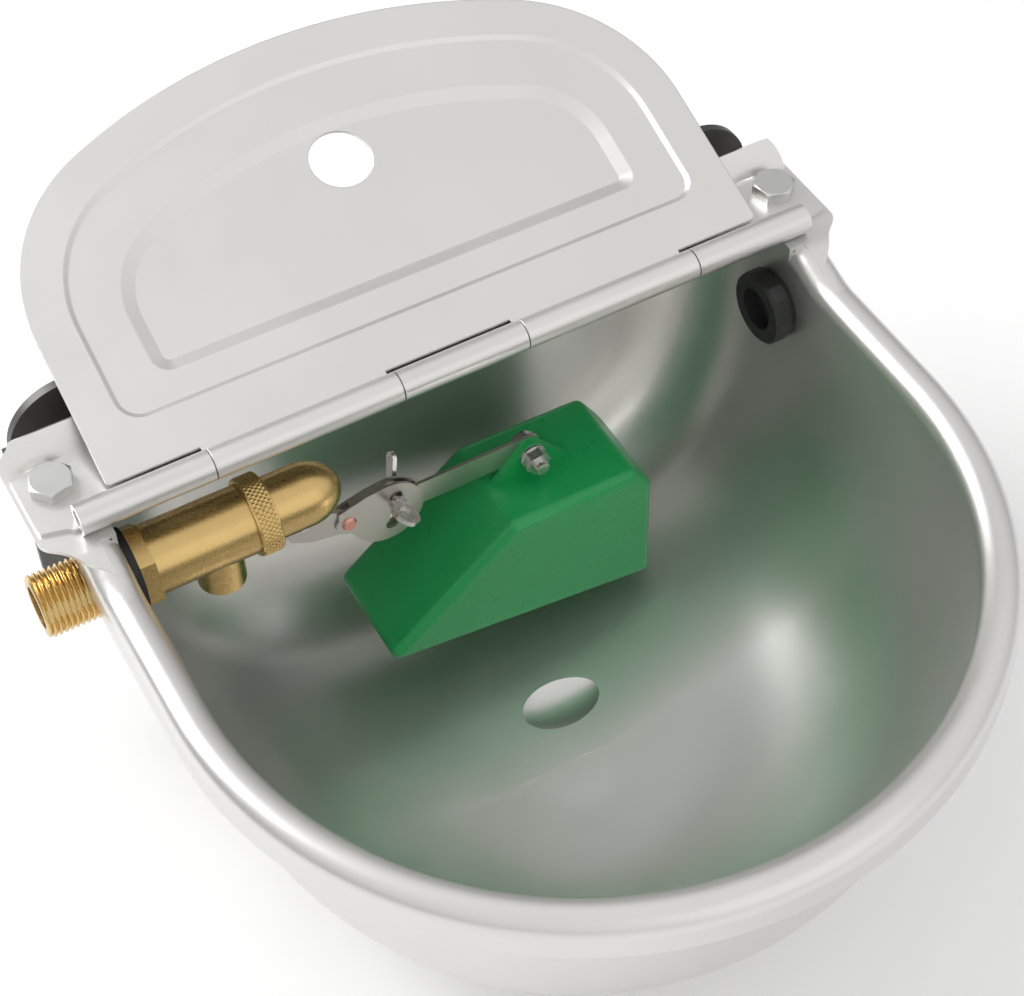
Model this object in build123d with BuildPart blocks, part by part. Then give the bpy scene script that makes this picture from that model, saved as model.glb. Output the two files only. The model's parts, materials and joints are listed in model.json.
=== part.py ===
from build123d import *
import os
from math import cos, hypot, pi, radians, sin, sqrt, tan

# Livestock drinking bowl with a float valve and a hinged cover. Millimetres.
# +X to the right, +Y into the wall, +Z up. The origin is the middle of the four
# fixing holes, on the plane of the wall.

# ---------------------------------------------------------------- driving dimensions
running_fit = 0.05         # radial, between a pin and the part that turns on it
screw_clearance = 0.3      # radial, between a screw and a punched hole
seat_gap = 0.1             # between two parts that rest on each other and can part
contact = 0.01             # between faces that are clamped together

# bowl
bowl_sheet = 1.5
rim_height = 40.0          # rim line above the origin
bowl_half_width = 122.5    # outside of the side walls
bowl_depth = 121.0         # outside, from the rim line down
bowl_centre_y = -118.0     # centre of the rounded front
wall_gap = 4.0             # from the bowl's back to the wall plate
side_power = 2.6           # roundness of the section, towards the side
floor_power = 3.1          # roundness of the section, towards the floor
rear_radius = 34.0
profile_steps = 12
bead_radius = 6.5
skirt_drop = 8.4           # from the rim line down
rise_start_y = -74.0       # the rim rises from here
rise_end_y = -53.0         # to here, where it meets the ears
rise_overrun = 3.0         # of the rolled rim, under the ears
rise_steps = 4
dimple_radii = (14.0, 9.5)
dimple_depth = 2.6
dimple_bowl = 8.0          # height of the ball that presses the dimple
dimple_place = (8.5, -95.5)

# ears of the bowl
ear_height = 11.2          # top of the ears above the rim line
ear_reach = 20.5           # beyond the side walls
ear_front_y = -44.5
ear_tip_y = -66.0          # where the ears run out on the rolled rim
ear_overlap = 1.2          # of the ears over the rolled rim's crest
ear_bend = (5.0, 7.0)      # how far their front edge bends inward and forward
ear_corner_radius = 12.0

# wall plate
plate_sheet = 3.0
plate_margin = 5.0         # beyond the bolts
plate_below = 40.0         # from the origin down to the lower edge
plate_corner_radius = 21.0
plate_lower_radius = 10.0
wall_hole_radius = 4.5
wall_hole_inset = 9.0      # from the plate's ends
wall_hole_spacing_z = 40.0
weld_leg = 4.0
lug_margin = 4.0           # beyond the washers

# hinge
hinge_y = -47.0
tube_radius = 5.0
tube_sheet = 1.5
tube_reach = 7.5           # beyond the side walls
knuckle_inner = 22.1       # cover knuckles reach from here
knuckle_outer = 86.6       # to here, on both sides
knuckle_gap = 0.4
tube_lift = 0.1            # from the bracket's underside up to its rolled tubes
pin_end = 0.6              # the pin stops this far inside the tube's end
pin_chamfer = 0.5

# hinge bracket
bracket_sheet = 1.5
bracket_margin = 1.5       # the ears reach this far beyond its ends
bracket_bend_y = 28.5      # from the hinge axis back to the bend
flange_length = 12.0
flange_angle = 55.0
flange_corner = 9.0
bend_radius = 2.0
window_depth = 9.0         # behind the hinge axis, clears the cover's knuckles
# front edge of the bracket's tabs: share of the way out to its end, place behind the hinge axis
tab_edge_share = (0.27, 0.52, 0.83, 1.0)
tab_edge_y = (1.4, 2.3, 3.2, 7.5)
relief_gap = 1.0           # under the cover's pressed panel
relief_margin = 1.5        # beside it
relief_slope = 4.0
bolt_reach = 8.5           # beyond the side walls
bolt_behind_hinge = 19.2

# cover
cover_sheet = 1.2
open_angle = 19.5          # of the open cover above the horizontal
cover_margin = 5.5         # from the side walls in to its edges
cover_length = 133.0       # from the hinge axis to the crown
cover_corner_radius = 60.0
cover_corner_t = 61.0      # centre of the corners from the hinge axis
cover_start = 8.0          # the leaf's edge from the hinge axis
cover_foot_radius = 2.0
border_width = 12.5        # of the flat border, at the sides
border_corner_radius = 47.5
border_corner_t = 60.0
border_crown = 14.0        # of the flat border, at the crown
border_start = 23.5
border_foot_radius = 9.0
step_depth = 1.2           # of the outer step
step_width = 1.6
panel_width = 29.0         # from the cover's side to the panel
panel_corner_radius = 31.0
panel_corner_t = 57.0
panel_crown = 33.0
panel_start = 35.0
panel_foot_radius = 7.0
panel_depth = 2.0          # of the inner step
panel_slope = 4.5
finger_hole_t = 84.0
finger_hole_radius = 10.7

# M8 bolts
bolt_radius = 4.0
bolt_across_flats = 13.0
bolt_head_height = 4.3
bolt_length = 20.0
nut_height = 6.5
washer_radius = 7.5
washer_sheet = 1.6
bolt_turns = (12.0, 41.0)  # how each head happened to stop
head_turned_off = 0.97     # round top of a head, as a share of the flats
head_chamfer_angle = 60.0
thread_chamfer = 0.15      # as a share of the shank's radius

# valve: places along X are measured in from the left wall's inner face
valve_behind_hinge = -2.0  # its axis in front of the hinge axis
valve_below_rim = 12.0
inlet_radius = 10.48       # G 1/2 thread, over the crests
engaged_radius = 9.9       # its mean radius, where a nut is on it
inlet_reach = 28.0         # out from the wall
inlet_bore = 7.0
inlet_chamfer = 0.8
inlet_flat = 9.7           # milled flat, from the axis
inlet_flat_angle = 30.0
fitting_room = 2.6         # radial, for a fitting on the thread
wall_hole_clearance = 0.4
gasket_gap = 0.45
gasket_sheet = 2.9
gasket_radius = 13.5
flange_across_flats = 24.4
flange_sheet = 5.0
flange_turn = 15.0
body_radius = 11.6
body_reach = 44.6
chamber_radius = 9.0
chamber_reach = 17.0
seat_radius = 5.0
seat_reach = 11.0
orifice_radius = 2.0
orifice_lip = 1.2
orifice_rise = 1.0
outlet_reach = 31.0
outlet_radius = 8.0
outlet_bore = 5.2
outlet_drop = 22.8
outlet_chamfer = 0.6
lock_nut_across_flats = 27.0
lock_nut_sheet = 6.0
lock_nut_turns = (30.0, 12.0)
lock_washer_radius = 15.0
lock_washer_sheet = 1.0

# union nut and dome
collar_reach = 41.9
collar_width = 7.5
collar_radius = 13.4
collar_lip = 0.7
knurl_count = 48
knurl_depth = 0.5
seal_margin = 0.1          # radial, of the seal and the dome's flange inside the nut
dome_seal_sheet = 0.9
dome_flange_sheet = 2.0
dome_radius = 10.6
dome_nose = 60.9
dome_tip = 74.4
dome_slot_width = 2.2
dome_slot_start = 50.9
dome_slot_margin = 1.4     # above the lever's finger

# plunger
plunger_fit = 0.07
plunger_seal_radius = 6.0
plunger_seal_sheet = 2.0
guide_reach = 41.0
guide_flat = 1.5           # of the four flats that let the water past
stem_radius = 4.0
lever_travel = 17.5        # degrees
lever_touch = 0.15         # between the lever's finger and the stem at rest

# lever and fork
lever_pin_radius = 1.5
lever_pin_reach = 58.0
lever_pin_below = 7.0      # under the valve's axis
lever_pin_inset = 0.3
lever_sheet = 1.6
finger_radius = 1.6
rivet_reach_x = 75.7
rivet_below = 21.6         # under the valve's axis
rivet_radius = 2.0
rivet_head_radius = 2.7
rivet_head = 1.0
rivet_head_taper = 30.0
rivet_wall = 5.2           # of the lever, above and below the rivet
fork_sheet = 0.9
fork_gap = 0.15            # each side of the lever
fork_boss_radius = 4.6
lobe_radius = 13.0
lobe_place = (14.2, -2.9)  # from the rivet
fork_shoulder = ((-3.6, 0.0), (-3.3, 6.2), (1.2, 7.6), (7.5, 9.3))  # from the rivet
slot_radius = 17.7
slot_half_width = 2.2
slot_low_angle = -31.0
slot_high_angle = 13.0
clamp_angle = 0.5          # where the eye screw stands in the slot at rest
eye_screw_radius = 1.9
eye_screw_flange = 1.3     # its collar, beyond the shank
eye_screw_collar = 1.2
eye_radius = 5.2
eye_hole_radius = 2.9
eye_sheet = 1.6
eye_turn = 35.0
screw_end = 2.0            # of a screw beyond its nut
strip_sheet = 1.2
strip_height = 10.0
strip_lift = 1.0           # of the strip's middle above the float screw
strip_clearance = 0.7
lever_tail_radius = 4.4
wing_span = 13.0
wing_sheet = 1.5
wing_turn = 75.0
wing_boss = 4.0
wing_boss_radius = 3.6
wing_boss_taper = 8.0

# float
float_screw_reach = 143.0
float_screw_below = 24.0   # under the valve's axis
float_front = 22.2         # from the valve's axis to the front
float_back = 19.3
float_sheet = 2.0
float_fillet = 3.5
float_corner_radius = 9.0  # upright corner at the back of the deep end
# corners from the valve's axis, along X from the float screw
float_corners = ((-69.0, -77.0), (38.5, -92.0), (37.4, -42.8), (30.7, -33.5), (-16.7, -32.6))
lug_sheet = 3.0
lug_base = (-15.0, 14.5)   # from the float screw
lug_radius = 5.2
lug_foot = 3.0             # down into the block
m5_radius = 2.5
m5_across_flats = 8.0
m5_head_height = 3.5
m5_nut_height = 4.0
m5_washer_radius = 4.8
m5_washer_sheet = 1.0
m5_tail = 2.5
m5_turns = (20.0, 10.0)    # of its head and its nut

# side plug
plug_below_rim = 16.4
plug_gasket_sheet = 2.4
plug_gasket_gap = 0.6      # the wall bends inward under the plug
plug_gasket_radius = 11.8
plug_head_sheet = 6.0
plug_radius = 13.3
plug_flats = 25.2
plug_chamfer = 1.0
plug_recess_radius = 7.5
plug_recess_depth = 5.0
plug_nut_sheet = 6.0
plug_tail = 1.0

# ---------------------------------------------------------------- places worked out
flange_top = rim_height + ear_height
bracket_bottom = flange_top + contact
hinge_z = bracket_bottom + tube_lift + tube_radius
plate_front = -plate_sheet
bowl_back_y = plate_front - wall_gap
ear_half_width = bowl_half_width + ear_reach
ear_back_y = plate_front - 5 * seat_gap
bracket_half_width = ear_half_width - bracket_margin
hinge_half_length = bowl_half_width + tube_reach
bolt_x = bowl_half_width + bolt_reach
bolt_y = hinge_y + bolt_behind_hinge
plate_half_width = bolt_x + plate_margin
cover_half_width = bowl_half_width - cover_margin
emboss_depth = step_depth + panel_depth
bead_centre_radius = bowl_half_width - bowl_sheet + bead_radius
ear_lift = bead_radius + seat_gap
bead_end_height = flange_top - ear_lift
inner_wall_x = -bowl_half_width + bowl_sheet
valve_y = hinge_y + valve_behind_hinge
valve_z = rim_height - valve_below_rim
plug_z = rim_height - plug_below_rim
inlet_end_x = inner_wall_x - inlet_reach
body_front_x = inner_wall_x + body_reach
chamber_start_x = inner_wall_x + chamber_reach
seat_start_x = inner_wall_x + seat_reach
outlet_x = inner_wall_x + outlet_reach
collar_start_x = inner_wall_x + collar_reach
collar_end_x = collar_start_x + collar_width
dome_nose_x = inner_wall_x + dome_nose
dome_tip_x = inner_wall_x + dome_tip
dome_slot_start_x = inner_wall_x + dome_slot_start
plunger_guide_end_x = inner_wall_x + guide_reach
lever_pin_x = inner_wall_x + lever_pin_reach
rivet_x = inner_wall_x + rivet_reach_x
float_screw_x = inner_wall_x + float_screw_reach
cover_rise = tan(radians(open_angle))
cover_under_at_axis = hinge_z - tube_radius / cos(radians(open_angle))
valve_axis = Axis((0, valve_y, valve_z), (1, 0, 0))
valve_section = Plane(origin=(0, valve_y, valve_z), x_dir=(1, 0, 0), z_dir=(0, -1, 0))
cover_plane = Plane(
    origin=(0, hinge_y, hinge_z),
    x_dir=(1, 0, 0),
    z_dir=(0, -sin(radians(open_angle)), cos(radians(open_angle))),
)


def cover_underside(y, depth=0.0):
    """Height of the open cover's lower surface over a place y, in a panel pressed down by depth."""
    return cover_under_at_axis - depth / cos(radians(open_angle)) + (y - hinge_y) * cover_rise


def across_valve(x, z=valve_z):
    """A plane square to the valve's axis, or to a line beside it at the height z."""
    return Plane(origin=(x, valve_y, z), x_dir=(0, 1, 0), z_dir=(1, 0, 0))


def write(node, name):
    node.part.label = name
    export_step(node.part, f"parts/{name}.step")


os.makedirs("parts", exist_ok=True)

# ---------------------------------------------------------------- bowl


def section_points(half_width, depth):
    """The bowl's half section from the rim to the middle of the floor."""
    points = []
    for step in range(profile_steps + 1):
        angle = step / profile_steps * pi / 2
        across = half_width * cos(angle) ** (2 / side_power) if step < profile_steps else 0.0
        points.append((across, rim_height - depth * sin(angle) ** (2 / floor_power)))
    return points


def bowl_form(inset):
    """The solid inside the bowl's outer surface, or inside one that is inset from it."""
    half_width = bowl_half_width - inset
    depth = bowl_depth - inset
    length = bowl_back_y - inset - bowl_centre_y
    with BuildPart() as form:
        with BuildSketch(Plane.XZ.offset(-bowl_centre_y)) as section:
            with BuildLine():
                Spline(*section_points(half_width, depth), tangents=[(0, -1), (-1, 0)])
                Line((0, rim_height - depth), (0, rim_height))
                Line((0, rim_height), (half_width, rim_height))
            make_face()
        revolve(axis=Axis((0, bowl_centre_y, 0), (0, 0, -1)), revolution_arc=180)
        with BuildSketch(Plane.XZ.offset(-bowl_centre_y)):
            add(section.sketch_local)
            mirror(section.sketch_local, about=Plane.YZ)
        extrude(amount=-length)
        back = form.faces().sort_by(Axis.Y)[-1]
        fillet(back.edges().filter_by(lambda e: e.center().Z < rim_height - 1), rear_radius - inset)
    return form.part


def bowl_plan(inset):
    """The bowl's outline at the rim, for a sketch."""
    half_width = bowl_half_width - inset
    back = bowl_back_y - inset
    radius = rear_radius - inset
    with BuildSketch() as plan:
        with BuildLine():
            side = Line((half_width, bowl_centre_y), (half_width, back - radius))
            corner = RadiusArc(side @ 1, (half_width - radius, back), -radius)
            Line(corner @ 1, (0, back))
            mirror(about=Plane.YZ)
            ThreePointArc(
                (-half_width, bowl_centre_y),
                (0, bowl_centre_y - half_width),
                (half_width, bowl_centre_y),
            )
        make_face()
    return plan.sketch


def rise_places():
    """Places in Y and Z along the rim's smooth rise towards the ears."""
    places = []
    for step in range(rise_steps + 1):
        share = step / rise_steps
        height = (bead_end_height - rim_height) * share**2 * (3 - 2 * share)
        places.append((rise_start_y + (rise_end_y - rise_start_y) * share, rim_height + height))
    return places


def rising_rim(lift):
    """The rim's rise towards the ears, drawn in the YZ plane."""
    return Spline(*((y, z + lift) for y, z in rise_places()), tangents=[(1, 0), (1, 0)])


def rim_section(place_y, place_z):
    """The rolled rim and its skirt, cut square across the right side."""
    inner_radius = bead_radius - bowl_sheet
    plane = Plane(origin=(bead_centre_radius, place_y, place_z), x_dir=(1, 0, 0), z_dir=(0, -1, 0))
    with BuildSketch(plane) as section:
        with BuildLine():
            ThreePointArc((-bead_radius, 0), (0, bead_radius), (bead_radius, 0))
            Polyline(
                (bead_radius, 0),
                (bead_radius, -skirt_drop),
                (inner_radius, -skirt_drop),
                (inner_radius, 0),
            )
            ThreePointArc((inner_radius, 0), (0, inner_radius), (-inner_radius, 0))
            Line((-inner_radius, 0), (-bead_radius, 0))
        make_face()
    return section.sketch


def ellipsoid(grow):
    """The form that presses the floor's dimple, or one that is larger all round."""
    height = dimple_bowl - dimple_depth
    share = sqrt(1 - (height / dimple_bowl) ** 2)
    with BuildPart() as form:
        Sphere(1)
        scale(by=(dimple_radii[0] / share + grow, dimple_radii[1] / share + grow, dimple_bowl + grow))
    floor_z = rim_height - bowl_depth + bowl_sheet
    return form.part.moved(Location((*dimple_place, floor_z + height)))


# the two ears and the narrow flange behind the bowl, one sheet that follows the rim's rise
with BuildPart() as ear_form:
    with BuildSketch(Plane.YZ):
        with BuildLine():
            upper = rising_rim(ear_lift)
            lower = rising_rim(ear_lift - bowl_sheet)
            Polyline(
                upper @ 1,
                (ear_back_y, flange_top),
                (ear_back_y, flange_top - bowl_sheet),
                lower @ 1,
            )
            Line(lower @ 0, upper @ 0)
        make_face()
    extrude(amount=ear_half_width + 1, both=True)
    with BuildSketch(Plane.XY):
        with BuildLine():
            crest_x = bead_centre_radius - ear_overlap
            Polyline((0, rise_end_y), (crest_x, rise_end_y), (crest_x, ear_tip_y))
            Spline(
                (crest_x, ear_tip_y),
                (bead_centre_radius + 0.9 * bead_radius, rise_end_y - ear_bend[0]),
                (ear_half_width - ear_bend[0], ear_front_y - ear_bend[1]),
                (ear_half_width, ear_front_y),
                tangents=[(0.6, 1), (0, 1)],
            )
            side = Line((ear_half_width, ear_front_y), (ear_half_width, ear_back_y - ear_corner_radius))
            corner = RadiusArc(
                side @ 1, (ear_half_width - ear_corner_radius, ear_back_y), -ear_corner_radius
            )
            Line(corner @ 1, (0, ear_back_y))
            mirror(about=Plane.YZ)
        make_face()
    extrude(amount=rim_height + 2 * ear_height, mode=Mode.INTERSECT)

# the rolled rim where it rises to the ears
with BuildPart() as rim_rise:
    loft(sections=[rim_section(y, z) for y, z in rise_places()])
    extrude(rim_section(rise_end_y, bead_end_height), amount=-rise_overrun)
    mirror(about=Plane.YZ)

with BuildPart() as bowl:
    add(bowl_form(0))
    with BuildSketch(Plane.XY.offset(rim_height)):
        add(bowl_plan(0))
    extrude(amount=ear_height)
    # clear what stands above the rim in front of the ears
    with BuildSketch(Plane.YZ):
        front = bowl_centre_y - bowl_half_width - 1
        with BuildLine():
            rise = rising_rim(seat_gap)
            Polyline(
                rise @ 1,
                (rise_end_y, flange_top + 1),
                (front, flange_top + 1),
                (front, rim_height),
                (rise_start_y, rim_height),
                rise @ 0,
            )
        make_face()
    extrude(amount=bowl_half_width + 1, both=True, mode=Mode.SUBTRACT)
    add(ear_form.part)
    # rolled rim with its skirt
    with BuildLine() as rim_path:
        start = (bead_centre_radius, rise_start_y, rim_height)
        side = Line(start, (bead_centre_radius, bowl_centre_y, rim_height))
        ThreePointArc(
            side @ 1,
            (0, bowl_centre_y - bead_centre_radius, rim_height),
            (-bead_centre_radius, bowl_centre_y, rim_height),
        )
        Line(
            (-bead_centre_radius, bowl_centre_y, rim_height),
            (-bead_centre_radius, rise_start_y, rim_height),
        )
    sweep(sections=rim_section(rise_start_y, rim_height), path=rim_path.line)
    add(rim_rise.part)
    add(ellipsoid(bowl_sheet))
    # hollow
    add(bowl_form(bowl_sheet), mode=Mode.SUBTRACT)
    with BuildSketch(Plane.XY.offset(rim_height)):
        add(bowl_plan(bowl_sheet))
    extrude(amount=ear_height + 1, mode=Mode.SUBTRACT)
    add(ellipsoid(0), mode=Mode.SUBTRACT)
    # a hole through each side, and a notch in the skirt beside it
    for side_x, hole_z in ((-bowl_half_width, valve_z), (bowl_half_width, plug_z)):
        with BuildSketch(across_valve(side_x, hole_z)):
            Circle(inlet_radius + wall_hole_clearance)
        extrude(amount=2 * bowl_sheet, both=True, mode=Mode.SUBTRACT)
        outward = side_x / bowl_half_width
        with BuildSketch(across_valve(outward * bead_centre_radius, hole_z)):
            Circle(inlet_radius + fitting_room)
        extrude(amount=outward * 2 * bead_radius, mode=Mode.SUBTRACT)
    with Locations((bolt_x, bolt_y, flange_top), (-bolt_x, bolt_y, flange_top)):
        Hole(bolt_radius + screw_clearance, depth=2 * bowl_sheet)
write(bowl, "bowl")

# ---------------------------------------------------------------- wall plate
border_half_width = cover_half_width - border_width
relief_half_width = border_half_width + relief_margin
plate_top = cover_underside(plate_front) - seat_gap
plate_relief_top = cover_underside(plate_front, emboss_depth) - seat_gap
lug_top = flange_top - bowl_sheet - contact
lug_half_width = washer_radius
with BuildPart() as wall_plate:
    with BuildSketch(Plane.XZ):
        with BuildLine():
            side = Line((plate_half_width, -plate_below + plate_lower_radius),
                        (plate_half_width, plate_top - plate_corner_radius))
            corner = RadiusArc(
                side @ 1, (plate_half_width - plate_corner_radius, plate_top), -plate_corner_radius
            )
            Polyline(
                corner @ 1,
                (relief_half_width, plate_top),
                (relief_half_width - relief_slope, plate_relief_top),
                (0, plate_relief_top),
            )
            lower = RadiusArc(
                side @ 0,
                (plate_half_width - plate_lower_radius, -plate_below),
                plate_lower_radius,
            )
            Line(lower @ 1, (0, -plate_below))
            mirror(about=Plane.YZ)
        make_face()
    extrude(amount=plate_sheet)
    with Locations(Plane.XZ.offset(plate_sheet)):
        with GridLocations(2 * (plate_half_width - wall_hole_inset), wall_hole_spacing_z, 2, 2):
            Hole(wall_hole_radius, depth=plate_sheet)
    # lugs that carry the ears, welded on
    for side_x in (-bolt_x, bolt_x):
        lug_front = bolt_y - washer_radius - lug_margin
        with BuildSketch(Plane.YZ.offset(side_x - lug_half_width)):
            with BuildLine():
                Polyline(
                    (plate_front, lug_top),
                    (lug_front, lug_top),
                    (lug_front, lug_top - plate_sheet),
                    (plate_front - weld_leg, lug_top - plate_sheet),
                    (plate_front, lug_top - plate_sheet - weld_leg),
                    close=True,
                )
            make_face()
        extrude(amount=2 * lug_half_width)
    with Locations((bolt_x, bolt_y, lug_top), (-bolt_x, bolt_y, lug_top)):
        Hole(bolt_radius + screw_clearance, depth=plate_sheet)
write(wall_plate, "wall_plate")

# ---------------------------------------------------------------- hinge bracket
bracket_bend = hinge_y + bracket_bend_y
flange_back = bracket_bend + flange_length * cos(radians(flange_angle))
bracket_relief = cover_underside(flange_back, emboss_depth) - relief_gap
tab_reach = bracket_half_width - hinge_half_length
with BuildPart() as hinge_bracket:
    with BuildSketch(Plane.YZ):
        with BuildLine():
            FilletPolyline(
                (hinge_y, bracket_bottom),
                (bracket_bend, bracket_bottom),
                (flange_back, bracket_bottom + flange_length * sin(radians(flange_angle))),
                radius=bend_radius + bracket_sheet,
            )
            offset(amount=bracket_sheet, side=Side.LEFT)
        make_face()
    extrude(amount=bracket_half_width, both=True)
    # the tabs' S-shaped front edge and rounded ends
    with BuildSketch(Plane.XY.offset(bracket_bottom - 1)):
        with BuildLine():
            tab_start = (hinge_half_length, hinge_y - tube_radius + 1)
            Polyline(
                (0, hinge_y),
                (hinge_half_length - 1, hinge_y),
                (hinge_half_length - 1, tab_start[1]),
                tab_start,
            )
            Spline(
                tab_start,
                *[
                    (hinge_half_length + share * tab_reach, hinge_y + y)
                    for share, y in zip(tab_edge_share, tab_edge_y)
                ],
                tangents=[(0.4, 1), (0, 1)],
            )
            side = Line(
                (bracket_half_width, hinge_y + tab_edge_y[-1]),
                (bracket_half_width, bracket_bend - bend_radius),
            )
            Spline(
                side @ 1,
                (bracket_half_width - flange_corner, flange_back + bracket_sheet),
                tangents=[(0, 1), (-1, 0.4)],
            )
            Line(
                (bracket_half_width - flange_corner, flange_back + bracket_sheet),
                (0, flange_back + bracket_sheet),
            )
            mirror(about=Plane.YZ)
        make_face()
    extrude(amount=tube_radius + flange_length, mode=Mode.INTERSECT)
    # windows for the cover's knuckles
    window_centre = (knuckle_inner + knuckle_outer) / 2
    with BuildSketch(Plane.XY.offset(bracket_bottom - 1)):
        with Locations((window_centre, hinge_y), (-window_centre, hinge_y)):
            Rectangle(knuckle_outer - knuckle_inner, 2 * window_depth)
    extrude(amount=2 * tube_radius, mode=Mode.SUBTRACT)
    # the flange is lower behind the cover's pressed panel
    with BuildSketch(Plane.XZ.offset(-flange_back - bracket_sheet)):
        with BuildLine():
            Polyline(
                (-relief_half_width, hinge_z + flange_length),
                (-relief_half_width + relief_slope, bracket_relief),
                (relief_half_width - relief_slope, bracket_relief),
                (relief_half_width, hinge_z + flange_length),
                close=True,
            )
        make_face()
    extrude(amount=2 * flange_length, mode=Mode.SUBTRACT)
    # the ends of the flange stop just under the cover
    with BuildSketch(Plane.YZ):
        rest_front = bracket_bend - 2 * bend_radius
        rest_back = flange_back + 2 * bracket_sheet
        with BuildLine():
            Polyline(
                (rest_front, cover_underside(rest_front) - seat_gap),
                (rest_back, cover_underside(rest_back) - seat_gap),
                (rest_back, hinge_z + 2 * flange_length),
                (rest_front, hinge_z + 2 * flange_length),
                close=True,
            )
        make_face()
    extrude(amount=bracket_half_width, both=True, mode=Mode.SUBTRACT)
    # fixed knuckles
    with BuildSketch(Plane.YZ.offset(-knuckle_inner)):
        with Locations((hinge_y, hinge_z)):
            Circle(tube_radius)
    extrude(amount=2 * knuckle_inner)
    for start_x in (-hinge_half_length, knuckle_outer):
        with BuildSketch(Plane.YZ.offset(start_x)):
            with Locations((hinge_y, hinge_z)):
                Circle(tube_radius)
        extrude(amount=hinge_half_length - knuckle_outer)
    with BuildSketch(Plane.YZ.offset(-hinge_half_length)):
        with Locations((hinge_y, hinge_z)):
            Circle(tube_radius - tube_sheet)
    extrude(amount=2 * hinge_half_length, mode=Mode.SUBTRACT)
    with Locations((bolt_x, bolt_y, bracket_bottom + bracket_sheet),
                   (-bolt_x, bolt_y, bracket_bottom + bracket_sheet)):
        Hole(bolt_radius + screw_clearance, depth=2 * bracket_sheet)
write(hinge_bracket, "hinge_bracket")

with BuildPart() as hinge_pin:
    with BuildSketch(Plane.YZ.offset(-hinge_half_length + pin_end)):
        with Locations((hinge_y, hinge_z)):
            Circle(tube_radius - tube_sheet - running_fit)
    extrude(amount=2 * (hinge_half_length - pin_end))
    chamfer(hinge_pin.edges(), pin_chamfer)
write(hinge_pin, "hinge_pin")

# ---------------------------------------------------------------- cover


def arch(half_width, corner_radius, corner_t, crown_t, base_t, base_radius):
    """An arched outline: straight base and sides, round corners and a wide crown."""
    corner_x = half_width - corner_radius
    reach = crown_t - corner_t
    crown_radius = (corner_x**2 + reach**2 - corner_radius**2) / (2 * (reach - corner_radius))
    crown_centre = crown_t - crown_radius
    slant = hypot(corner_x, corner_t - crown_centre)
    tangent_x = corner_x / slant * crown_radius
    tangent_t = crown_centre + (corner_t - crown_centre) / slant * crown_radius
    with BuildSketch() as outline:
        with BuildLine():
            if base_radius > 0:
                foot = RadiusArc(
                    (half_width - base_radius, base_t), (half_width, base_t + base_radius), -base_radius
                )
                Line((0, base_t), foot @ 0)
                Line(foot @ 1, (half_width, corner_t))
            else:
                Polyline((0, base_t), (half_width, base_t), (half_width, corner_t))
            RadiusArc((half_width, corner_t), (tangent_x, tangent_t), -corner_radius)
            RadiusArc((tangent_x, tangent_t), (0, crown_t), -crown_radius)
            mirror(about=Plane.YZ)
        make_face()
    return outline.sketch


def border_outline(grow):
    """The edge of the cover's flat border, grown or shrunk all round."""
    return arch(
        border_half_width + grow,
        border_corner_radius + grow,
        border_corner_t,
        cover_length - border_crown + grow,
        border_start - grow,
        border_foot_radius + grow,
    )


def panel_outline(grow):
    """The edge of the cover's middle panel, grown or shrunk all round."""
    return arch(
        cover_half_width - panel_width + grow,
        panel_corner_radius + grow,
        panel_corner_t,
        cover_length - panel_crown + grow,
        panel_start - grow,
        panel_foot_radius + grow,
    )


def pressed_panel(height, grow):
    """The two steps pressed down from a surface at the given height over the cover's plane."""
    with BuildPart() as panel:
        with BuildSketch(cover_plane.offset(height)):
            add(border_outline(grow))
        with BuildSketch(cover_plane.offset(height - step_depth)):
            add(border_outline(grow - step_width))
        loft()
        with BuildSketch(cover_plane.offset(height - step_depth)):
            add(panel_outline(grow))
        with BuildSketch(cover_plane.offset(height - emboss_depth)):
            add(panel_outline(grow - panel_slope))
        loft()
    return panel.part


leaf_height = -tube_radius
leaf_top = -tube_radius + cover_sheet
cover_knuckle = knuckle_outer - knuckle_inner - 2 * knuckle_gap
with BuildPart() as cover:
    with BuildSketch(cover_plane.offset(leaf_height)):
        add(arch(cover_half_width, cover_corner_radius, cover_corner_t, cover_length, cover_start, 0))
        with Locations((window_centre, cover_start / 2), (-window_centre, cover_start / 2)):
            Rectangle(cover_knuckle, cover_start)
    extrude(amount=cover_sheet)
    corner_edges = cover.edges().filter_by(lambda e: abs(e.length - cover_sheet) < 0.01)
    front_corners = corner_edges.filter_by(lambda e: abs(abs(e.center().X) - cover_half_width) < 0.5)
    fillet(front_corners.sort_by(Axis.Y)[:2], cover_foot_radius)
    add(pressed_panel(leaf_height, 0))
    add(pressed_panel(leaf_top, -cover_sheet / 2), mode=Mode.SUBTRACT)
    with BuildSketch(cover_plane.offset(-2 * tube_radius)):
        with Locations((0, finger_hole_t)):
            Circle(finger_hole_radius)
    extrude(amount=2 * tube_radius, mode=Mode.SUBTRACT)
    for start_x in (knuckle_inner + knuckle_gap, -knuckle_outer + knuckle_gap):
        with BuildSketch(Plane.YZ.offset(start_x)):
            with Locations((hinge_y, hinge_z)):
                Circle(tube_radius)
        extrude(amount=cover_knuckle)
    with BuildSketch(Plane.YZ.offset(-hinge_half_length)):
        with Locations((hinge_y, hinge_z)):
            Circle(tube_radius - tube_sheet)
    extrude(amount=2 * hinge_half_length, mode=Mode.SUBTRACT)
write(cover, "cover")

# ---------------------------------------------------------------- bolts of the bracket


def hexagon(across_flats, turn=0.0):
    return RegularPolygon(across_flats / 2, 6, major_radius=False, rotation=turn)


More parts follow.
